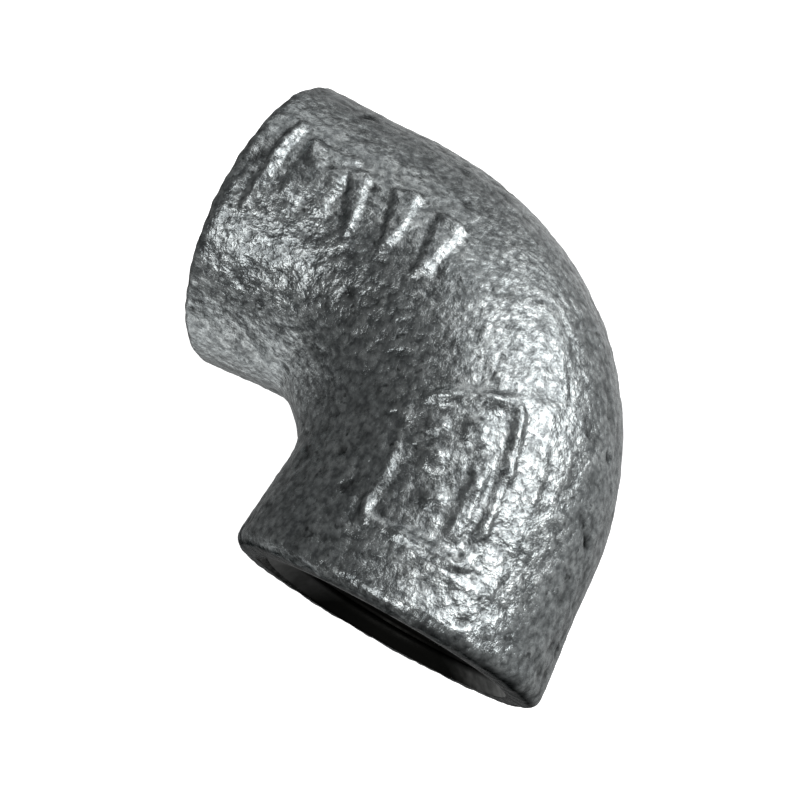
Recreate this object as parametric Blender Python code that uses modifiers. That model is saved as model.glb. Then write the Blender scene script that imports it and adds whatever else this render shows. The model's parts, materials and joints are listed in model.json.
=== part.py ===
"""Pipe elbow, galvanised malleable iron, DN 15 (1/2 inch), 90 degrees, two internal threads.

The elbow lies on its side: both sockets point sideways, to +X and to -Y, and the bend bulges
towards -X +Y. It is one casting, so it is one solid. Metres, +Z up, with the origin under the
middle of the casting's outer box.
"""
import math

import bmesh
import bpy
from mathutils import Matrix, Vector

MM = 0.001

# Casting
CENTRE_TO_FACE = 28.0 * MM          # from the crossing of the socket axes to each end face
BEND_RADIUS = 18.8 * MM             # of the centreline
MOUTH_RADIUS = 14.2 * MM            # outside, at the end faces
LEG_RADIUS = 13.8 * MM              # outside, where the sockets meet the bend
CROWN_RADIUS = 14.2 * MM            # outside, at the middle of the bend
FLARE_LENGTH = 9.0 * MM             # over which the mouth narrows to the leg
BACK_SWELL = 0.55 * MM              # extra metal on the back of the bend
RIM_ROUND = 1.15 * MM               # rounding of the end faces' outer edge
SIDES = 36                          # around the casting
BEND_STEPS = 12
RIM_STEPS = 3

# Waterway and sockets
CHAMBER_RADIUS = 10.6 * MM          # of the cast passage round the bend
CHAMBER_NECK = 9.0 * MM             # of the same passage where it starts, inside the bores
CHAMBER_RISE = 4.5 * MM             # along the centreline, from the neck to the full radius
CHAMBER_SIDES = 32
SOCKET_DEPTH = 15.6 * MM            # of the straight bore behind each end face
MOUTH_BORE_RADIUS = 11.55 * MM      # of the 45 degree countersink at the end face

# Thread, parallel internal, 55 degree form, 14 turns to the inch
PITCH = 25.4 * MM / 14
THREAD_DEPTH = 0.640327 * PITCH
MAJOR_RADIUS = 20.955 / 2 * MM
MINOR_RADIUS = MAJOR_RADIUS - THREAD_DEPTH
ROOT_FLAT = PITCH / 6
CREST_FLAT = PITCH / 6
FULL_THREAD = 11.5 * MM             # depth of the last full turn
RUN_OUT_END = 14.0 * MM             # depth where the groove fades out
THREAD_TURNS = 9
TURN_STEPS = 28

# Raised foundry marks
MARK_HEIGHT = 0.55 * MM
MARK_ROOT = 1.2 * MM                # how far a mark reaches down into the casting

# The crossing of the socket axes, which puts the outer box's bottom centre at the origin
CORNER = Vector((-(CENTRE_TO_FACE - MOUTH_RADIUS) / 2, (CENTRE_TO_FACE - MOUTH_RADIUS) / 2, MOUTH_RADIUS))
BEND_CENTRE = CORNER + Vector((BEND_RADIUS, -BEND_RADIUS, 0))
LEG_LENGTH = CENTRE_TO_FACE - BEND_RADIUS
TOTAL_LENGTH = 2 * LEG_LENGTH + BEND_RADIUS * math.pi / 2
SOCKETS = {"px": Vector((1, 0, 0)), "ny": Vector((0, -1, 0))}
UP = Vector((0, 0, 1))


def clear_scene():
    for old in list(bpy.data.objects):
        bpy.data.objects.remove(old, do_unlink=True)


def new_collection(name):
    made = bpy.data.collections.new(name)
    bpy.context.scene.collection.children.link(made)
    return made


def new_object(name, mesh, collection):
    made = bpy.data.objects.new(name, mesh)
    collection.objects.link(made)
    return made


def smooth(t):
    t = min(max(t, 0.0), 1.0)
    return t * t * (3 - 2 * t)


def outer_radius(along):
    """Outside radius at a distance along the centreline from the +X face."""
    inward = min(along, TOTAL_LENGTH - along)
    flare = (MOUTH_RADIUS - LEG_RADIUS) * (1 - smooth(inward / FLARE_LENGTH))
    crown = (CROWN_RADIUS - LEG_RADIUS) * smooth((inward - FLARE_LENGTH) / (TOTAL_LENGTH / 2 - FLARE_LENGTH))
    return LEG_RADIUS + flare + crown


def centreline(along):
    """Point on the centreline and the direction to the outside of the bend there."""
    if along < LEG_LENGTH:
        return CORNER + Vector((CENTRE_TO_FACE - along, 0, 0)), Vector((0, 1, 0))
    if along > TOTAL_LENGTH - LEG_LENGTH:
        return CORNER + Vector((0, TOTAL_LENGTH - along - CENTRE_TO_FACE, 0)), Vector((-1, 0, 0))
    angle = (along - LEG_LENGTH) / BEND_RADIUS
    outward = Vector((-math.sin(angle), math.cos(angle), 0))
    return BEND_CENTRE + BEND_RADIUS * outward, outward


def swell(point):
    """Extra metal at a point of the skin, most on the back of the bend at its middle."""
    away = point - BEND_CENTRE
    flat = Vector((away.x, away.y, 0))
    sweep = math.atan2(flat.y, -flat.x)
    if not 0 < sweep < math.pi / 2:
        return Vector()
    outside = (flat.length - BEND_RADIUS) / CROWN_RADIUS
    return flat.normalized() * BACK_SWELL * math.sin(2 * sweep) ** 1.5 * max(outside, 0) ** 2


def skin_point(along, turn, lift):
    """Point at a height above the skin; turn is the angle from the outside of the bend."""
    middle, outward = centreline(along)
    direction = math.cos(turn) * outward + math.sin(turn) * UP
    skin = middle + direction * outer_radius(along)
    return skin + swell(skin) + direction * lift


def tube(name, stations, depth, sides, collection):
    """Closed tube mesh from (point, radius factor) stations on a poly spline."""
    curve = bpy.data.curves.new(name, "CURVE")
    curve.dimensions = "3D"
    curve.twist_mode = "Z_UP"
    curve.bevel_depth = depth
    curve.bevel_resolution = (sides - 4) // 2
    curve.use_fill_caps = True
    spline = curve.splines.new("POLY")
    spline.points.add(len(stations) - 1)
    for point, (position, factor) in zip(spline.points, stations):
        point.co = (*position, 1)
        point.radius = factor
    guide = new_object(name + "_guide", curve, collection)
    evaluated = guide.evaluated_get(bpy.context.evaluated_depsgraph_get())
    mesh = bpy.data.meshes.new_from_object(evaluated)
    mesh.transform(guide.matrix_world)
    bpy.data.objects.remove(guide)
    weld(mesh)
    mesh.name = name
    return new_object(name, mesh, collection)


def weld(mesh):
    work = bmesh.new()
    work.from_mesh(mesh)
    bmesh.ops.remove_doubles(work, verts=work.verts, dist=0.001 * MM)
    bmesh.ops.recalc_face_normals(work, faces=work.faces)
    work.to_mesh(mesh)
    work.free()


def bend_stations():
    step = (TOTAL_LENGTH - 2 * LEG_LENGTH) / BEND_STEPS
    return [LEG_LENGTH + step * index for index in range(BEND_STEPS + 1)]


def cast_skin(collection):
    """Outside of the casting, with rounded rims and the swollen back, still solid inside."""
    rim = []
    for index in range(RIM_STEPS + 1):
        angle = math.pi / 2 * index / RIM_STEPS
        rim.append((RIM_ROUND * (1 - math.cos(angle)), RIM_ROUND * (1 - math.sin(angle))))
    leg = [(RIM_ROUND + (LEG_LENGTH - RIM_ROUND) * part / 3, 0.0) for part in (1, 2)]
    near = rim + leg
    stations = [(along, outer_radius(along) - inset) for along, inset in near]
    stations += [(along, outer_radius(along)) for along in bend_stations()]
    stations += [(TOTAL_LENGTH - along, outer_radius(along) - inset) for along, inset in reversed(near)]
    points = [(centreline(along)[0], radius / LEG_RADIUS) for along, radius in stations]
    body = tube("elbow_body", points, LEG_RADIUS, SIDES, collection)
    for vertex in body.data.vertices:
        vertex.co += swell(vertex.co)
    return body


def waterway(collection):
    """Cast passage round the bend, which widens behind the threads to keep the wall even."""
    stations = []
    for along in bend_stations():
        inward = min(along, TOTAL_LENGTH - along) - LEG_LENGTH
        radius = CHAMBER_NECK + (CHAMBER_RADIUS - CHAMBER_NECK) * smooth(inward / CHAMBER_RISE)
        stations.append((centreline(along)[0], radius / CHAMBER_RADIUS))
    return tube("waterway_cutter", stations, CHAMBER_RADIUS, CHAMBER_SIDES, collection)


def aim(target, direction):
    """Turns a cutter whose +Z points out of the mouth, and puts its origin on the end face."""
    turn = UP.rotation_difference(direction).to_matrix().to_4x4()
    target.matrix_world = Matrix.Translation(CORNER + direction * CENTRE_TO_FACE) @ turn


def thread_form():
    """One pitch of the thread as (radius, height) points, from one crest flat to the next."""
    flank = (PITCH - CREST_FLAT - ROOT_FLAT) / 2
    return [
        (MINOR_RADIUS, 0),
        (MINOR_RADIUS, CREST_FLAT),
        (MAJOR_RADIUS, CREST_FLAT + flank),
        (MAJOR_RADIUS, CREST_FLAT + flank + ROOT_FLAT),
        (MINOR_RADIUS, PITCH),
    ]


def tap(name, direction, collection):
    """Cutter for a socket: bore, thread, shallow last turns and countersink in one closed body."""
    form = thread_form()
    profile = bpy.data.meshes.new(name + "_form")
    edges = [(index, index + 1) for index in range(len(form) - 1)]
    profile.from_pydata([(radius, 0, height - SOCKET_DEPTH) for radius, height in form], edges, [])
    guide = new_object(name + "_guide", profile, collection)
    screw = guide.modifiers.new("helix", "SCREW")
    screw.steps = TURN_STEPS
    screw.render_steps = TURN_STEPS
    screw.iterations = THREAD_TURNS
    screw.screw_offset = PITCH
    evaluated = guide.evaluated_get(bpy.context.evaluated_depsgraph_get())
    mesh = bpy.data.meshes.new_from_object(evaluated)
    bpy.data.objects.remove(guide)
    work = bmesh.new()
    work.from_mesh(mesh)
    bmesh.ops.remove_doubles(work, verts=work.verts, dist=0.001 * MM)
    ends = bmesh.ops.holes_fill(work, edges=work.edges, sides=0)
    bmesh.ops.poke(work, faces=ends["faces"])
    for vertex in work.verts:
        fit_to_socket(vertex)
    bmesh.ops.recalc_face_normals(work, faces=work.faces)
    work.to_mesh(mesh)
    work.free()
    mesh.name = name
    made = new_object(name, mesh, collection)
    aim(made, direction)
    return made


def fit_to_socket(vertex):
    """Fades the groove out behind the last full turn, and opens it into the countersink."""
    radius = math.hypot(vertex.co.x, vertex.co.y)
    if radius < MINOR_RADIUS / 2:
        return
    depth = -vertex.co.z
    fade = min(max((depth - FULL_THREAD) / (RUN_OUT_END - FULL_THREAD), 0), 1)
    fitted = max(min(radius, MAJOR_RADIUS - fade * THREAD_DEPTH), MOUTH_BORE_RADIUS - depth)
    vertex.co.x *= fitted / radius
    vertex.co.y *= fitted / radius


def pad(name, place, size, collection, slant=0.0, narrow=0.0, height=MARK_HEIGHT, root=MARK_ROOT):
    """Raised mark wrapped on the skin.

    place is (distance along the centreline, distance around from the top towards the throat),
    size is (along, around), slant turns the mark, and narrow is the share of the along size
    lost by the end nearest the throat.
    """
    work = bmesh.new()
    bmesh.ops.create_cube(work, size=1.0)
    sides = [edge for edge in work.edges if abs((edge.verts[0].co - edge.verts[1].co).z) < 0.5]
    bmesh.ops.subdivide_edges(work, edges=sides, cuts=3, use_grid_fill=True)
    for vertex in work.verts:
        across = vertex.co.x * size[0] * (1 - narrow * (vertex.co.y + 0.5))
        around = vertex.co.y * size[1]
        along = place[0] + across * math.cos(slant) - around * math.sin(slant)
        arc = place[1] + across * math.sin(slant) + around * math.cos(slant)
        lift = height if vertex.co.z > 0 else -root
        vertex.co = skin_point(along, math.pi / 2 + arc / LEG_RADIUS, lift)
    bmesh.ops.recalc_face_normals(work, faces=work.faces)
    mesh = bpy.data.meshes.new(name)
    work.to_mesh(mesh)
    work.free()
    return new_object(name, mesh, collection)


def boolean(target, tool, operation):
    step = target.modifiers.new(tool.name, "BOOLEAN")
    step.operation = operation
    step.solver = "EXACT"
    step.object = tool
    hide(tool)


def hide(tool):
    tool.hide_render = True
    tool.display_type = "WIRE"


def window(name, place, size, bar, collection):
    """Raised rectangular frame: a pad with its middle cut away."""
    frame = pad(name, place, size, collection)
    inside = (size[0] - 2 * bar, size[1] - 2 * bar)
    middle = pad(name + "_middle", place, inside, collection, height=2 * MARK_HEIGHT, root=2 * MARK_ROOT)
    boolean(frame, middle, "DIFFERENCE")
    return frame


def foundry_marks(collection):
    """Plain bars, frames and wedges in place of a foundry's own marks."""
    far = TOTAL_LENGTH
    bar = 1.1 * MM
    marks = [
        pad("bar_at_rim", (far - 3.4 * MM, -0.3 * MM), (bar, 8.0 * MM), collection),
        window("small_frame", (far - 7.0 * MM, 0.3 * MM), (4.2 * MM, 6.2 * MM), bar, collection),
        pad("bar_on_bend", (far - 11.4 * MM, 0.4 * MM), (bar, 5.4 * MM), collection, slant=-0.15),
        window("large_frame", (10.8 * MM, -0.4 * MM), (12.2 * MM, 9.0 * MM), bar, collection),
        pad("long_bar", (11.2 * MM, 1.2 * MM), (6.4 * MM, bar), collection),
        pad("short_bar", (9.2 * MM, -1.8 * MM), (5.0 * MM, bar), collection),
    ]
    wedges = [("first_wedge", 14.8 * MM, -0.4 * MM), ("second_wedge", 19.0 * MM, -1.2 * MM)]
    for name, back, arc in wedges:
        size = (2.8 * MM, 6.0 * MM)
        marks.append(pad(name, (far - back, arc), size, collection, slant=0.3, narrow=0.7))
    return marks


def zinc_coat():
    coat = bpy.data.materials.new("galvanised_iron")
    coat.use_nodes = True
    shader = coat.node_tree.nodes["Principled BSDF"]
    shader.inputs["Base Color"].default_value = (0.42, 0.45, 0.45, 1)
    shader.inputs["Metallic"].default_value = 0.9
    shader.inputs["Roughness"].default_value = 0.42
    return coat


def build():
    clear_scene()
    parts = new_collection("pipe_elbow")
    cutters = new_collection("cutters")
    body = cast_skin(parts)
    for mark in foundry_marks(cutters):
        boolean(body, mark, "UNION")
    boolean(body, waterway(cutters), "DIFFERENCE")
    for side, direction in SOCKETS.items():
        boolean(body, tap("tap_" + side, direction, cutters), "DIFFERENCE")
    body.data.materials.append(zinc_coat())
    body.data.shade_smooth()
    body.data.set_sharp_from_angle(angle=math.radians(35))


build()
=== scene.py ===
"""Looks of a galvanised malleable iron pipe elbow, DN 15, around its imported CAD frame.

The elbow is one casting, so one detailed closed mesh stands for the one CAD node: a rough cast
skin with raised foundry marks, two cut internal threads and the cast passage round the bend.
Lengths are metres; +Z is up and the elbow lies on its side, with its sockets to +X and -Y.
"""
import json
import math

import bmesh
import bpy
import numpy as np
from mathutils import Matrix, Vector, noise


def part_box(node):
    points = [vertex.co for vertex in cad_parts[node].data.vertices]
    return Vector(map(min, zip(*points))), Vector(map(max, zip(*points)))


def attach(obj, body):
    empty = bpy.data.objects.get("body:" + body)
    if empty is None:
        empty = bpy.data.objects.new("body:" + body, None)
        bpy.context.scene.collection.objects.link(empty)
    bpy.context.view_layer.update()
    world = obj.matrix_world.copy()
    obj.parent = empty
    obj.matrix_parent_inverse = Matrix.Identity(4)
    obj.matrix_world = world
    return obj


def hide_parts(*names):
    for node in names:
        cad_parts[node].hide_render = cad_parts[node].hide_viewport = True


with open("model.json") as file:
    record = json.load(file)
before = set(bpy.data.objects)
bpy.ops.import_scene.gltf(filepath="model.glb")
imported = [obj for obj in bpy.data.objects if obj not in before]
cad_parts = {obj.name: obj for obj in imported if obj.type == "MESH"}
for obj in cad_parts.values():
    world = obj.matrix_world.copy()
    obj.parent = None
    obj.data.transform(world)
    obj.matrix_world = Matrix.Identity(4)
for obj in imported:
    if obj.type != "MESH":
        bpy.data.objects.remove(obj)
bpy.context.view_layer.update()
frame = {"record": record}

MM = 0.001
TAU = 2 * math.pi

# The elbow's outer form and its thread, the same as the CAD's
BEND_RADIUS = 18.8 * MM
MOUTH_RADIUS = 14.2 * MM
LEG_RADIUS = 13.8 * MM
CROWN_RADIUS = 14.2 * MM
FLARE_LENGTH = 9.0 * MM
BACK_SWELL = 0.55 * MM
RIM_ROUND = 1.15 * MM
MOUTH_BORE_RADIUS = 11.55 * MM
PITCH = 25.4 * MM / 14
THREAD_DEPTH = 0.640327 * PITCH
MAJOR_RADIUS = 20.955 / 2 * MM
MINOR_RADIUS = MAJOR_RADIUS - THREAD_DEPTH

# Its inside, a little simpler than the CAD's
CHAMBER_RADIUS = 10.5 * MM
FULL_THREAD = 11.0 * MM
SOCKET_DEPTH = 13.2 * MM

# Raised marks
ROW_HEIGHT = 0.54 * MM
PANEL_HEIGHT = 0.44 * MM
PLATE_HEIGHT = 0.14 * MM
MARK_LENGTH = 5.8 * MM
BORDER_WIDTH = 0.8 * MM

# Relief of the cast skin
LUMP_HEIGHT = 0.10 * MM
RIPPLE_HEIGHT = 0.06 * MM
PEEL_HEIGHT = 0.070 * MM
FINE_PEEL_HEIGHT = 0.055 * MM
GRAIN_HEIGHT = 0.105 * MM
PIT_DEPTH = 0.16 * MM
SEAM_HEIGHT = 0.05 * MM
PASSAGE_HEIGHT = 0.06 * MM

# Painted shade in the casting's colour, from 0 on clean metal to 1 on black: along the end rims,
# in pits, hollows and the bore, on the end faces and on the mouth's lip
RIM_SHADE = 0.85
PIT_SHADE = 0.6
HOLLOW_SHADE = 0.35
BORE_SHADE = 0.75
FACE_SHADE = 0.68
LIP_SHADE_LOW = 0.9
LIP_SHADE_HIGH = 0.35

# Places read from the frame
MOUNTS = {mount["name"]: mount["pos_m"] for mount in frame["record"]["mounts"]}
AXIS_Y = MOUNTS["socket_face_px"][1]
AXIS_X = MOUNTS["socket_face_ny"][0]
FLOOR_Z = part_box("elbow_body")[0][2]
CORNER = np.array([AXIS_X, AXIS_Y, FLOOR_Z + MOUTH_RADIUS])
CENTRE_TO_FACE = MOUNTS["socket_face_px"][0] - AXIS_X
LEG_LENGTH = CENTRE_TO_FACE - BEND_RADIUS
TOTAL_LENGTH = 2 * LEG_LENGTH + BEND_RADIUS * math.pi / 2
BEND_CENTRE = CORNER + np.array([BEND_RADIUS, -BEND_RADIUS, 0])
UP = np.array([0.0, 0.0, 1.0])

# Mesh density
SKIN_COLUMNS = 352
SOCKET_COLUMNS = SKIN_COLUMNS // 2
SKIN_ROW = 0.26 * MM
RIM_ROWS = 7
FACE_ROWS = 5
CHAMBER_ROWS = 22
SKIN, THREAD = 0, 1


def smooth(t):
    """Eased step from 0 to 1."""
    t = np.clip(t, 0, 1)
    return t * t * (3 - 2 * t)


def from_face(along):
    """Distance in from the nearer end face."""
    return np.minimum(along, TOTAL_LENGTH - along)


# --- the elbow's outer form -------------------------------------------------------------------

def outer_radius(along):
    inward = from_face(along)
    flare = (MOUTH_RADIUS - LEG_RADIUS) * (1 - smooth(inward / FLARE_LENGTH))
    to_middle = (inward - FLARE_LENGTH) / (TOTAL_LENGTH / 2 - FLARE_LENGTH)
    crown = (CROWN_RADIUS - LEG_RADIUS) * smooth(to_middle)
    return LEG_RADIUS + flare + crown


def centreline(along):
    """Point on the centreline, and the direction to the outside of the bend there."""
    if along < LEG_LENGTH:
        reach = np.array([CENTRE_TO_FACE - along, 0, 0])
        return CORNER + reach, np.array([0.0, 1.0, 0.0])
    if along > TOTAL_LENGTH - LEG_LENGTH:
        reach = np.array([0, TOTAL_LENGTH - along - CENTRE_TO_FACE, 0])
        return CORNER + reach, np.array([-1.0, 0.0, 0.0])
    angle = (along - LEG_LENGTH) / BEND_RADIUS
    outward = np.array([-math.sin(angle), math.cos(angle), 0])
    return BEND_CENTRE + BEND_RADIUS * outward, outward


def tube_coordinates(points):
    """Distance along the centreline, turn from the outside of the bend, and distance from it."""
    away = points - BEND_CENTRE
    sweep = np.arctan2(-away[:, 0], away[:, 1])
    in_px = away[:, 0] > 0
    in_ny = away[:, 1] < 0
    in_ny &= ~in_px | (away[:, 1] < -away[:, 0])
    in_px &= ~in_ny
    along = LEG_LENGTH + BEND_RADIUS * sweep
    along[in_px] = (CORNER[0] + CENTRE_TO_FACE - points[:, 0])[in_px]
    along[in_ny] = (TOTAL_LENGTH - (points[:, 1] - CORNER[1] + CENTRE_TO_FACE))[in_ny]
    outside = np.hypot(away[:, 0], away[:, 1]) - BEND_RADIUS
    outside[in_px] = (points[:, 1] - CORNER[1])[in_px]
    outside[in_ny] = (CORNER[0] - points[:, 0])[in_ny]
    rise = points[:, 2] - CORNER[2]
    return along, np.arctan2(rise, outside), np.hypot(outside, rise)


def swell(points):
    """Extra metal on the back of the bend, most at its middle."""
    away = points - BEND_CENTRE
    away[:, 2] = 0
    sweep = np.arctan2(away[:, 1], -away[:, 0])
    reach = np.linalg.norm(away, axis=1)
    outside = np.clip((reach - BEND_RADIUS) / CROWN_RADIUS, 0, None)
    bend = np.where((sweep > 0) & (sweep < math.pi / 2), np.abs(np.sin(2 * sweep)) ** 1.5, 0)
    amount = BACK_SWELL * bend * outside ** 2
    return away / reach[:, None] * amount[:, None]


def ring(middle, outward, radius, columns):
    """Circle of points across the centreline, from the outside of the bend upward."""
    turns = np.arange(columns) * TAU / columns
    return middle + radius * (np.cos(turns)[:, None] * outward + np.sin(turns)[:, None] * UP)


# --- mesh assembly ----------------------------------------------------------------------------

class Builder:
    """Collects rings and grids of points; the seams between them are welded at the end."""

    def __init__(self):
        self.points = []
        self.faces = []
        self.kinds = []
        self.count = 0

    def add_points(self, rows):
        first = self.count
        self.points.append(rows)
        self.count += len(rows)
        return first

    def add_face(self, corners, kind):
        self.faces.append(corners)
        self.kinds.append(kind)

    def add_rings(self, rings, kind):
        starts = [self.add_points(row) for row in rings]
        columns = len(rings[0])
        for low, high in zip(starts, starts[1:]):
            for j in range(columns):
                k = (j + 1) % columns
                self.add_face((low + j, low + k, high + k, high + j), kind)

    def add_half_step(self, fine, coarse, kind):
        """Joins a ring to one with half as many points."""
        fine_start = self.add_points(fine)
        coarse_start = self.add_points(coarse)
        columns = len(coarse)
        for j in range(columns):
            k = (j + 1) % columns
            a, b, c = fine_start + 2 * j, fine_start + 2 * j + 1, fine_start + 2 * k
            here, there = coarse_start + j, coarse_start + k
            self.add_face((a, b, here), kind)
            self.add_face((b, there, here), kind)
            self.add_face((b, c, there), kind)

    def mesh(self, name):
        work = bpy.data.meshes.new(name)
        work.from_pydata(np.concatenate(self.points).tolist(), [], self.faces)
        work.polygons.foreach_set("material_index", self.kinds)
        weld = bmesh.new()
        weld.from_mesh(work)
        bmesh.ops.remove_doubles(weld, verts=weld.verts, dist=0.002 * MM)
        bmesh.ops.recalc_face_normals(weld, faces=weld.faces)
        weld.to_mesh(work)
        weld.free()
        return work


def skin_rings():
    """Rings of the cast skin, from one end face's flat, over the rim and round to the other."""
    rim = []
    for index in range(RIM_ROWS + 1):
        angle = math.pi / 2 * index / RIM_ROWS
        rim.append((RIM_ROUND * (1 - math.cos(angle)), RIM_ROUND * (1 - math.sin(angle))))
    steps = round((TOTAL_LENGTH - 2 * RIM_ROUND) / SKIN_ROW)
    between = np.linspace(RIM_ROUND, TOTAL_LENGTH - RIM_ROUND, steps + 1)[1:-1]
    stations = rim + [(along, 0.0) for along in between]
    stations += [(TOTAL_LENGTH - along, inset) for along, inset in reversed(rim)]
    rings = []
    for along, inset in stations:
        middle, outward = centreline(along)
        points = ring(middle, outward, outer_radius(along) - inset, SKIN_COLUMNS)
        rings.append(points + swell(points))
    return rings


def add_end_face(builder, along):
    """Flat ring of the end face, from the rim's rounding in to the countersink."""
    middle, outward = centreline(along)
    start = outer_radius(along) - RIM_ROUND
    radii = np.linspace(start, MOUTH_BORE_RADIUS, FACE_ROWS + 1)
    rings = [ring(middle, outward, radius, SKIN_COLUMNS) for radius in radii[:-1]]
    builder.add_rings(rings, SKIN)
    builder.add_half_step(rings[-1], ring(middle, outward, radii[-1], SOCKET_COLUMNS), SKIN)


def thread_rows():
    """One pitch of the thread form as (share of the pitch, share of the depth), corners eased."""
    rise = [(0.14, 0.17), (0.36, 0.83), (0.45, 1.0)]
    crest = [(0.05, 0.0)]
    fall = [(1 - place, depth) for place, depth in reversed(rise + crest)]
    return crest + rise + fall


def add_socket(builder, along, hand):
    """Countersunk thread as one helical sheet, flattened into a ring at both of its ends."""
    middle, outward = centreline(along)
    axis = np.cross(outward, UP) * hand
    form = thread_rows()
    per_turn = len(form)
    turns = math.ceil(SOCKET_DEPTH / PITCH) + 2
    rows = turns * per_turn
    places = np.array([form[row % per_turn][0] + row // per_turn for row in range(rows)])
    depths = np.array([form[row % per_turn][1] for row in range(rows)])
    columns = np.arange(SOCKET_COLUMNS) / SOCKET_COLUMNS
    height = PITCH * (places[:, None] + columns[None, :]) - SOCKET_DEPTH - PITCH
    height = np.clip(height, -SOCKET_DEPTH, 0)
    fade = np.clip((-height - FULL_THREAD) / (SOCKET_DEPTH - FULL_THREAD), 0, 1)
    radius = MINOR_RADIUS + THREAD_DEPTH * np.minimum(depths[:, None], 1 - fade)
    radius = np.maximum(radius, MOUTH_BORE_RADIUS + height)
    turn = hand * TAU * columns
    across = np.cos(turn)[:, None] * outward + np.sin(turn)[:, None] * UP
    points = middle + radius[:, :, None] * across[None, :, :] + height[:, :, None] * axis
    first = builder.add_points(points.reshape(-1, 3))
    for row in range(rows - 1):
        for j in range(SOCKET_COLUMNS):
            k = (j + 1) % SOCKET_COLUMNS
            shift = per_turn if k == 0 else 0
            if row + 1 + shift >= rows:
                continue
            here = first + row * SOCKET_COLUMNS
            there = here + shift * SOCKET_COLUMNS
            corners = (here + j, there + k, there + SOCKET_COLUMNS + k, here + SOCKET_COLUMNS + j)
            builder.add_face(corners, THREAD)


def chamber_rings():
    """Rings of the cast passage, on planes that turn about the throat from socket to socket."""
    reach = CENTRE_TO_FACE - SOCKET_DEPTH
    pivot = CORNER + np.array([reach, -reach, 0])
    rings = []
    for index in range(CHAMBER_ROWS + 1):
        share = index / CHAMBER_ROWS
        angle = math.pi / 2 * share
        outward = np.array([-math.sin(angle), math.cos(angle), 0])
        edge = min(share, 1 - share)
        radius = MINOR_RADIUS + (CHAMBER_RADIUS - MINOR_RADIUS) * smooth(edge / 0.22)
        shift = 1.3 * MM * math.sin(2 * angle) ** 2
        rings.append(ring(pivot + (reach - shift) * outward, outward, radius, SOCKET_COLUMNS))
    return rings


# --- relief and roughness of the casting ------------------------------------------------------

def rounded_box(across, around, size, corner=0.3 * MM):
    """Signed distance to a box with rounded corners."""
    x = np.abs(across) - size[0] / 2 + corner
    y = np.abs(around) - size[1] / 2 + corner
    outside = np.hypot(np.maximum(x, 0), np.maximum(y, 0))
    return outside + np.minimum(np.maximum(x, y), 0) - corner


def bar(along, arc, place, size, slant=0.0, narrow=0.0):
    """Distance to a bar or, where narrow isn't zero, to a wedge."""
    x = along - place[0]
    y = arc - place[1]
    across = x * math.cos(slant) + y * math.sin(slant)
    around = y * math.cos(slant) - x * math.sin(slant)
    share = np.clip(around / size[1] + 0.5, 0, 1)
    return rounded_box(across / (1 - narrow * share), around, size)


def dot(along, arc, place, radius):
    return np.hypot(along - place[0], arc - place[1]) - radius


def frame_line(along, arc, place, size, width):
    return np.abs(rounded_box(along - place[0], arc - place[1], size, 0.8 * MM)) - width / 2


def mark_groups(along, arc):
    """Distances to the plain raised marks, with each group's height, edge and least filling.

    A rim bar, a pad and three wedges lie along the -Y leg, and a framed panel on the +X leg.
    """
    back = TOTAL_LENGTH - along
    row = [bar(back, arc, (3.2 * MM, 0.3 * MM), (0.8 * MM, 9.4 * MM), slant=0.04)]
    for index, width in enumerate((1.7 * MM, 2.2 * MM, 2.2 * MM)):
        place = ((11.0 + 3.8 * index) * MM, (0.4 - 0.8 * index) * MM)
        row.append(bar(back, arc, place, (width, MARK_LENGTH), slant=-0.45, narrow=0.6))
    pad = [bar(back, arc, (7.1 * MM, -0.3 * MM), (4.2 * MM, MARK_LENGTH))]
    border_size = (11.6 * MM, 8.4 * MM)
    border = [frame_line(along, arc, (10.9 * MM, -0.2 * MM), border_size, BORDER_WIDTH)]
    panel = [
        bar(along, arc, (9.6 * MM, -2.6 * MM), (6.4 * MM, 1.3 * MM), slant=0.05),
        dot(along, arc, (8.6 * MM, -0.1 * MM), 0.8 * MM),
        dot(along, arc, (11.6 * MM, 1.3 * MM), 0.9 * MM),
        dot(along, arc, (14.2 * MM, 1.6 * MM), 0.7 * MM),
        dot(along, arc, (14.3 * MM, -1.4 * MM), 1.0 * MM),
    ]
    return (
        (row, ROW_HEIGHT, 0.45 * MM, 0.7),
        (pad, ROW_HEIGHT, 0.60 * MM, 0.5),
        (border, PANEL_HEIGHT, 0.80 * MM, 0.1),
        (panel, PANEL_HEIGHT, 0.70 * MM, 0.6),
    )


def mark_height(points, along, turn):
    """Relief of the marks, filled in unevenly by sand and zinc, on a faintly ridged plate."""
    arc = (turn - math.pi / 2) * LEG_RADIUS
    wobble = 0.22 * MM * noise_field(points, 1.1 * MM, 7)
    sand = 0.6 + 1.3 * noise_field(points, 2.6 * MM, 9)
    height = np.zeros(len(along))
    for marks, full, edge, least in mark_groups(along, arc):
        filling = full * np.clip(sand, least, 1)
        for distance in marks:
            height = np.maximum(height, filling * (1 - smooth((distance + wobble) / edge + 0.5)))
    plate = bar(along, arc, (10.6 * MM, -0.9 * MM), (13.0 * MM, 12.4 * MM))
    ridge = np.exp(-((plate + wobble) / (0.4 * MM)) ** 2)
    return height + PLATE_HEIGHT * np.clip(sand, 0, 1) * ridge


def noise_field(points, size, seed):
    """Smooth noise between about -1 and 1, with features of a size in metres."""
    shift = Vector((seed * 7.31, seed * 3.17, seed * 5.73))
    scale = 1 / size
    return np.array([noise.noise(Vector(point) * scale + shift) for point in points])


def cell_field(points, size, seed):
    """Rounded cells from 0 at their middles up to about 1 where they meet."""
    shift = Vector((seed * 4.7, seed * 9.1, seed * 2.3))
    scale = 1 / size
    return np.array([noise.voronoi(Vector(point) * scale + shift)[0][0] for point in points])


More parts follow.
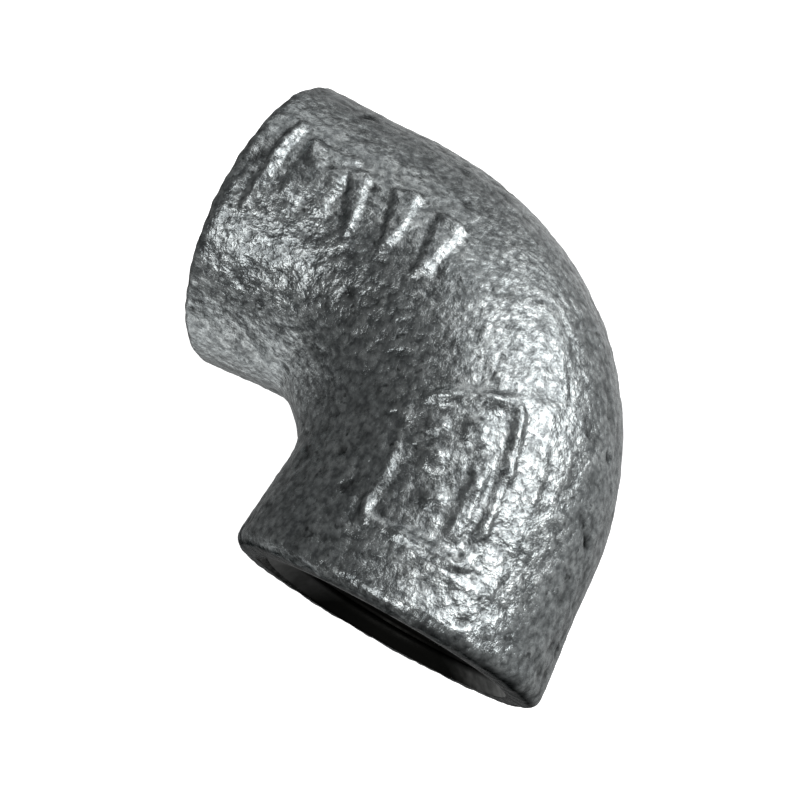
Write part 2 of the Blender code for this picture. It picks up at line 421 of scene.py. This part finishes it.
def cast_height(points, along, turn, off_axis):
    """Height of the cast skin above its plain form, and how much painted shade each place gets.
    """
    lumps = LUMP_HEIGHT * noise_field(points, 9 * MM, 1)
    lumps += RIPPLE_HEIGHT * noise_field(points, 3.6 * MM, 2)
    peel = PEEL_HEIGHT * noise_field(points, 1.5 * MM, 3)
    peel += FINE_PEEL_HEIGHT * noise_field(points, 0.8 * MM, 4)
    grains = GRAIN_HEIGHT * (0.5 - cell_field(points, 1.0 * MM, 5))
    pits = smooth((noise_field(points, 1.9 * MM, 6) - 0.50) / 0.2)
    parting = np.abs(np.sin(turn)) * off_axis
    dressed = 1 - smooth(parting / (3.2 * MM) - 0.25)
    seam = SEAM_HEIGHT * np.exp(-(parting / (0.45 * MM)) ** 2)
    rough = (1 - 0.6 * dressed) * (peel + grains)
    pitted = (1 - 0.4 * dressed) * pits
    height = lumps + rough - PIT_DEPTH * pitted + seam + mark_height(points, along, turn)
    # Painted shade: a dark band along each end's rim, wider at the +X end, with a ragged inner
    # edge
    reach = np.where(along < TOTAL_LENGTH / 2, 0.55 * MM, 0.15 * MM)
    ragged = 0.3 * noise_field(points, 1.6 * MM, 10)
    rim = RIM_SHADE - RIM_SHADE * smooth((from_face(along) - 0.1 * MM) / reach + ragged)
    # Painted shade in the pits and in the low hollows of the skin, with the rim band over both
    painted_shade = np.maximum(PIT_SHADE * pitted + HOLLOW_SHADE * smooth(-rough / (0.07 * MM)), rim)
    return height, painted_shade


def roughen(mesh):
    """Gives the plain form its cast surface; the cut threads keep their true shape."""
    count = len(mesh.vertices)
    points = np.empty(count * 3)
    normals = np.empty(count * 3)
    mesh.vertices.foreach_get("co", points)
    mesh.vertex_normals.foreach_get("vector", normals)
    points = points.reshape(-1, 3)
    normals = normals.reshape(-1, 3)
    along, turn, off_axis = tube_coordinates(points)
    inward = from_face(along)
    outer = off_axis > MOUTH_BORE_RADIUS + 0.1 * MM
    inner = ~outer & (inward > SOCKET_DEPTH + 0.5 * MM)
    cover = np.zeros(count)
    cover[outer] = smooth((off_axis[outer] - MOUTH_BORE_RADIUS) / (1.2 * MM))
    height = np.zeros(count)
    painted_shade = np.zeros(count)
    places = (points[outer], along[outer], turn[outer], off_axis[outer])
    height[outer], painted_shade[outer] = cast_height(*places)
    height[inner] = PASSAGE_HEIGHT * noise_field(points[inner], 2.2 * MM, 8)
    cover[inner] = 1
    # Painted shade over the bore's cast surfaces and the passage inside
    painted_shade[~outer] = BORE_SHADE
    # Painted shade on the flat end faces
    face = (inward < 0.05 * MM) & outer
    painted_shade[face] = FACE_SHADE
    # Painted shade on the mouth's lip round the bore: heavy on its lower side and light on its
    # upper side, which leaves a paler line along the top
    lip = (np.abs(off_axis - MOUTH_BORE_RADIUS) < 0.3 * MM) & (inward < 0.3 * MM)
    raised = smooth(points[lip, 2] / LEG_RADIUS - 1)
    painted_shade[lip] = LIP_SHADE_LOW + (LIP_SHADE_HIGH - LIP_SHADE_LOW) * raised
    points += normals * (height * cover)[:, None]
    mesh.vertices.foreach_set("co", points.ravel())
    # Keeps the painted shade on the mesh for the zinc material
    mesh.attributes.new("painted_shade", "FLOAT", "POINT").data.foreach_set("value", painted_shade)
    mesh.update()


def make_casting():
    builder = Builder()
    builder.add_rings(skin_rings(), SKIN)
    for along, hand in ((0.0, 1), (TOTAL_LENGTH, -1)):
        add_end_face(builder, along)
        add_socket(builder, along, hand)
    builder.add_rings(chamber_rings(), SKIN)
    mesh = builder.mesh("elbow_casting")
    roughen(mesh)
    mesh.shade_smooth()
    casting = bpy.data.objects.new("elbow_casting", mesh)
    bpy.context.scene.collection.objects.link(casting)
    casting.data.materials.append(zinc_material())
    casting.data.materials.append(thread_material())
    return casting


# --- materials --------------------------------------------------------------------------------

class Nodes:
    """Short helpers for a material's node tree."""

    def __init__(self, name):
        self.material = bpy.data.materials.new(name)
        self.material.use_nodes = True
        self.tree = self.material.node_tree
        self.shader = self.tree.nodes["Principled BSDF"]
        self.place = self.tree.nodes.new("ShaderNodeTexCoord").outputs["Object"]

    def link(self, source, target):
        self.tree.links.new(source, target)

    def noise(self, size, detail=3.0, roughness=0.55):
        """Cloudy noise with features of a size in metres, about 0.5 on average."""
        node = self.tree.nodes.new("ShaderNodeTexNoise")
        node.inputs["Scale"].default_value = 1 / size
        node.inputs["Detail"].default_value = detail
        node.inputs["Roughness"].default_value = roughness
        self.link(self.place, node.inputs["Vector"])
        return node.outputs["Fac"]

    def cells(self, size, wobble):
        """Rounded grains, 1 at their tops and about 0 in the creases between them."""
        shake = self.tree.nodes.new("ShaderNodeTexNoise")
        shake.inputs["Scale"].default_value = 1 / size
        shake.inputs["Detail"].default_value = 1
        self.link(self.place, shake.inputs["Vector"])
        moved = self.tree.nodes.new("ShaderNodeVectorMath")
        moved.operation = "MULTIPLY_ADD"
        moved.inputs[1].default_value = (wobble, wobble, wobble)
        self.link(shake.outputs["Color"], moved.inputs[0])
        self.link(self.place, moved.inputs[2])
        node = self.tree.nodes.new("ShaderNodeTexVoronoi")
        node.inputs["Scale"].default_value = 1 / size
        self.link(moved.outputs["Vector"], node.inputs["Vector"])
        return self.spread(node.outputs["Distance"], 0.05, 0.75, 1, 0)

    def mixed(self, first, second, share):
        """Two values in one, with a share of the second."""
        node = self.tree.nodes.new("ShaderNodeMix")
        node.inputs["Factor"].default_value = share
        self.link(first, node.inputs["A"])
        self.link(second, node.inputs["B"])
        return node.outputs["Result"]

    def wrinkles(self):
        """Fine folds along the -Y leg, where the mould's sand ran."""
        stretch = self.tree.nodes.new("ShaderNodeVectorMath")
        stretch.operation = "MULTIPLY"
        stretch.inputs[1].default_value = (1, 0.4, 1)
        self.link(self.place, stretch.inputs[0])
        folds = self.tree.nodes.new("ShaderNodeTexNoise")
        folds.inputs["Scale"].default_value = 1 / GRAIN_SIZE
        folds.inputs["Detail"].default_value = 2
        self.link(stretch.outputs["Vector"], folds.inputs["Vector"])
        split = self.tree.nodes.new("ShaderNodeSeparateXYZ")
        self.link(self.place, split.inputs["Vector"])
        cover = self.spread(split.outputs["Y"], AXIS_Y - 16 * MM, AXIS_Y - 11 * MM, 1, 0)
        product = self.tree.nodes.new("ShaderNodeMath")
        product.operation = "MULTIPLY"
        self.link(folds.outputs["Fac"], product.inputs[0])
        self.link(cover, product.inputs[1])
        return product.outputs["Value"]

    def attribute(self, name):
        node = self.tree.nodes.new("ShaderNodeAttribute")
        node.attribute_name = name
        return node.outputs["Fac"]

    def spread(self, value, low, high, to_low, to_high):
        """A value's range from low to high, stretched to another and held at its ends."""
        node = self.tree.nodes.new("ShaderNodeMapRange")
        node.inputs["From Min"].default_value = low
        node.inputs["From Max"].default_value = high
        node.inputs["To Min"].default_value = to_low
        node.inputs["To Max"].default_value = to_high
        self.link(value, node.inputs["Value"])
        return node.outputs["Result"]

    def blend(self, factor, first, second):
        """Colour between two, each given as three numbers or as another node's output."""
        node = self.tree.nodes.new("ShaderNodeMix")
        node.data_type = "RGBA"
        self.link(factor, node.inputs["Factor"])
        for socket, colour in ((node.inputs["A"], first), (node.inputs["B"], second)):
            if isinstance(colour, tuple):
                socket.default_value = (*colour, 1)
            else:
                self.link(colour, socket)
        return node.outputs["Result"]

    def bump(self, height, distance, normal=None):
        """Normal of a relief as deep as a distance, on top of an earlier one if given."""
        node = self.tree.nodes.new("ShaderNodeBump")
        node.inputs["Distance"].default_value = distance
        self.link(height, node.inputs["Height"])
        if normal:
            self.link(normal, node.inputs["Normal"])
        return node.outputs["Normal"]


# Linear colours
BRIGHT_ZINC = (0.68, 0.72, 0.72)
GREY_ZINC = (0.53, 0.57, 0.575)
# Painted shade in the hollows between the skin's grains
ZINC_HOLLOW_SHADE = (0.21, 0.228, 0.233)
ZINC_SPECK = (0.05, 0.054, 0.055)
# Black of the painted shade that the mesh carries
SHADE_BLACK = (0.02, 0.021, 0.021)
BRIGHT_THREAD = (0.40, 0.405, 0.40)
GREY_THREAD = (0.24, 0.245, 0.24)
# Painted shade on the threads' lower side
THREAD_SHADE = (0.015, 0.015, 0.014)
PALE = (0.8, 0.8, 0.8, 1)

# Specular tints, which set how bright a metal is seen edge on
CLEAN_EDGE = (1.0, 1.0, 1.0)
THREAD_EDGE = (0.6, 0.6, 0.6)
# Edge-on tint where shade is painted, so the reflection there is dimmed as well
SHADED_EDGE = (0.06, 0.06, 0.06)

GRAIN_SIZE = 0.40 * MM
CREASE_SIZE = 0.75 * MM


def zinc_material():
    """Hot-dip zinc on a sand-cast skin: cool grey grains with painted shade in the hollows
    between them, and the mesh's painted shade.
    """
    nodes = Nodes("galvanised_iron")
    shader = nodes.shader
    shader.inputs["Metallic"].default_value = 1.0
    patches = nodes.spread(nodes.noise(3.5 * MM), 0.35, 0.65, 0, 1)
    tone = nodes.blend(patches, GREY_ZINC, BRIGHT_ZINC)
    grain = nodes.noise(GRAIN_SIZE, 3, 0.60)
    crease = nodes.cells(CREASE_SIZE, 0.55 * MM)
    # Painted shade in the low parts of the grain and creases that the bumps below use as relief
    hollow_shade = nodes.spread(nodes.mixed(grain, crease, 0.3), 0.30, 0.62, 1, 0)
    colour = nodes.blend(hollow_shade, tone, ZINC_HOLLOW_SHADE)
    specks = nodes.spread(nodes.noise(0.9 * MM, 2), 0.65, 0.73, 0, 0.75)
    colour = nodes.blend(specks, colour, ZINC_SPECK)
    # Painted shade from the mesh darkens the colour and the edge-on reflection
    painted_shade = nodes.attribute("painted_shade")
    colour = nodes.blend(painted_shade, colour, SHADE_BLACK)
    nodes.link(colour, shader.inputs["Base Color"])
    nodes.link(nodes.blend(painted_shade, CLEAN_EDGE, SHADED_EDGE), shader.inputs["Specular Tint"])
    rough = nodes.spread(nodes.noise(0.9 * MM, 3), 0.3, 0.7, 0.17, 0.31)
    nodes.link(rough, shader.inputs["Roughness"])
    coarse = nodes.bump(crease, 0.035 * MM)
    grained = nodes.bump(grain, 0.10 * MM, coarse)
    wrinkled = nodes.bump(nodes.wrinkles(), 0.06 * MM, grained)
    nodes.link(wrinkled, shader.inputs["Normal"])
    return nodes.material


def thread_material():
    """Cut thread, with painted shade darkening its lower side and dimming its reflection there.
    """
    nodes = Nodes("cut_thread")
    shader = nodes.shader
    shader.inputs["Metallic"].default_value = 1.0
    shades = nodes.spread(nodes.noise(1.4 * MM), 0.35, 0.65, 0, 1)
    clean = nodes.blend(shades, GREY_THREAD, BRIGHT_THREAD)
    height = nodes.tree.nodes.new("ShaderNodeSeparateXYZ")
    nodes.link(nodes.place, height.inputs["Vector"])
    middle = float(CORNER[2])
    # Painted shade, growing towards the bottom of the bore
    lower_shade = nodes.spread(height.outputs["Z"], middle - 9 * MM, middle + 1 * MM, 1, 0)
    colour = nodes.blend(lower_shade, clean, THREAD_SHADE)
    nodes.link(colour, shader.inputs["Base Color"])
    nodes.link(nodes.blend(lower_shade, THREAD_EDGE, SHADED_EDGE), shader.inputs["Specular Tint"])
    rough = nodes.spread(nodes.noise(0.6 * MM), 0.3, 0.7, 0.40, 0.65)
    nodes.link(rough, shader.inputs["Roughness"])
    nodes.link(nodes.bump(nodes.noise(0.25 * MM), 0.02 * MM), shader.inputs["Normal"])
    return nodes.material


def pale_material(name):
    """Plain pale surface that gives its own light, for the table and the room round it."""
    nodes = Nodes(name)
    shader = nodes.shader
    shader.inputs["Base Color"].default_value = PALE
    shader.inputs["Roughness"].default_value = 0.9
    shader.inputs["Emission Color"].default_value = (1, 1, 1, 1)
    shader.inputs["Emission Strength"].default_value = 1.0
    return nodes.material


# --- camera, floor and light ------------------------------------------------------------------

# Glows in the studio's walls and table: azimuth and elevation in degrees, tightness, strength
AMBIENT = 0.08
GLOWS = (
    (0, -85, 8, 0.12),
    (180, -45, 8, 0.5),
    (126, 30, 1, 0.20),
    (125, -40, 8, 0.15),
    (110, 0, 14, 0.2),
    (-30, -32, 12, 1.1),
)

# Softboxes: name, azimuth, elevation, radiance, width, with the angles in degrees
SOFTBOXES = (
    ("key", 125, 36, 3.3, 36),
    ("key_side", 153, 17, 1.0, 36),
    ("back", 152, 60, 1.2, 36),
    ("fill", -7, 54, 2.4, 34),
    ("rim", 200, 30, 0.6, 36),
)
SOFTBOX_DISTANCE = 0.5

# Floor and room
FLOOR_GAP = 0.12 * MM
FLOOR_HALF_WIDTH = 4.0
ROOM_RADIUS = 3.0

# Camera, fitted to the photograph's outline; its azimuth turns from -Y towards +X
CAMERA_AZIMUTH = math.radians(120.44)
CAMERA_ELEVATION = math.radians(69.99)
CAMERA_ROLL = math.radians(-2.11)
CAMERA_DISTANCE = 91.6 * MM
AIM_RIGHT = -11.71 * MM
AIM_UP = -4.23 * MM
LENS = 45.1


def add_camera():
    """Camera at the photograph's angle; the aim is given from the crossing of the socket axes."""
    azimuth, elevation = CAMERA_AZIMUTH, CAMERA_ELEVATION
    x = math.sin(azimuth) * math.cos(elevation)
    y = -math.cos(azimuth) * math.cos(elevation)
    back = Vector((x, y, math.sin(elevation)))
    level = Vector((math.cos(azimuth), math.sin(azimuth), 0))
    right = Matrix.Rotation(CAMERA_ROLL, 3, back) @ level
    upward = back.cross(right)
    turn = Matrix((right, upward, back)).transposed().to_4x4()
    place = Vector(CORNER) + right * AIM_RIGHT + upward * AIM_UP + back * CAMERA_DISTANCE
    camera = bpy.data.cameras.new("camera")
    camera.lens = LENS
    camera.clip_start = 1 * MM
    camera.clip_end = 10 * ROOM_RADIUS
    made = bpy.data.objects.new("camera", camera)
    made.matrix_world = Matrix.Translation(place) @ turn
    bpy.context.scene.collection.objects.link(made)
    bpy.context.scene.camera = made


def add_floor():
    mesh = bpy.data.meshes.new("floor")
    work = bmesh.new()
    bmesh.ops.create_grid(work, x_segments=2, y_segments=2, size=FLOOR_HALF_WIDTH)
    work.to_mesh(mesh)
    work.free()
    floor = bpy.data.objects.new("floor", mesh)
    floor.location.z = FLOOR_Z - FLOOR_GAP
    mesh.materials.append(pale_material("pale_floor"))
    floor.visible_glossy = False
    floor.visible_shadow = False
    bpy.context.scene.collection.objects.link(floor)


def direction(azimuth, elevation):
    """Unit vector to an azimuth from +X towards +Y and an elevation, both in degrees."""
    a, e = math.radians(azimuth), math.radians(elevation)
    return Vector((math.cos(a) * math.cos(e), math.sin(a) * math.cos(e), math.sin(e)))


def add_softbox(name, azimuth, elevation, radiance, width):
    """Round soft light far off in a direction, with its width in degrees as the elbow sees it."""
    light = bpy.data.lights.new(name, "SUN")
    light.angle = math.radians(width)
    light.energy = radiance * math.pi * math.sin(light.angle / 2) ** 2
    made = bpy.data.objects.new(name, light)
    made.location = Vector(CORNER) + SOFTBOX_DISTANCE * direction(azimuth, elevation)
    made.rotation_euler = direction(azimuth, elevation).to_track_quat("Z", "Y").to_euler()
    bpy.context.scene.collection.objects.link(made)


def add_glow(tree, place, azimuth, elevation, tightness, strength, total):
    """Adds a soft glow round one direction to the studio's light, and returns the sum."""
    facing = tree.nodes.new("ShaderNodeVectorMath")
    facing.operation = "DOT_PRODUCT"
    facing.inputs[1].default_value = direction(azimuth, elevation)
    tree.links.new(place, facing.inputs[0])
    falling = tree.nodes.new("ShaderNodeMath")
    falling.operation = "MULTIPLY_ADD"
    falling.inputs[1].default_value = tightness
    falling.inputs[2].default_value = -tightness
    tree.links.new(facing.outputs["Value"], falling.inputs[0])
    curve = tree.nodes.new("ShaderNodeMath")
    curve.operation = "EXPONENT"
    tree.links.new(falling.outputs["Value"], curve.inputs[0])
    adding = tree.nodes.new("ShaderNodeMath")
    adding.operation = "MULTIPLY_ADD"
    adding.inputs[1].default_value = strength
    adding.inputs[2].default_value = AMBIENT
    tree.links.new(curve.outputs["Value"], adding.inputs[0])
    if total:
        tree.links.new(total, adding.inputs[2])
    return adding.outputs["Value"]


def add_world():
    """Dim studio with a glow from the table below and from its walls."""
    world = bpy.data.worlds.new("studio")
    world.use_nodes = True
    tree = world.node_tree
    place = tree.nodes.new("ShaderNodeTexCoord").outputs["Generated"]
    total = None
    for glow in GLOWS:
        total = add_glow(tree, place, *glow, total)
    tree.links.new(total, tree.nodes["Background"].inputs["Color"])
    bpy.context.scene.world = world


def add_backdrop():
    """White room that only the camera sees."""
    mesh = bpy.data.meshes.new("backdrop")
    work = bmesh.new()
    bmesh.ops.create_uvsphere(work, u_segments=48, v_segments=24, radius=ROOM_RADIUS)
    work.to_mesh(mesh)
    work.free()
    room = bpy.data.objects.new("backdrop", mesh)
    mesh.materials.append(pale_material("pale_room"))
    room.visible_diffuse = False
    room.visible_glossy = False
    room.visible_transmission = False
    room.visible_shadow = False
    bpy.context.scene.collection.objects.link(room)


add_camera()
add_floor()
add_world()
add_backdrop()
for softbox in SOFTBOXES:
    add_softbox(*softbox)
bpy.context.scene.view_settings.view_transform = "Standard"

casting = make_casting()
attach(casting, "root")
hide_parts("elbow_body")
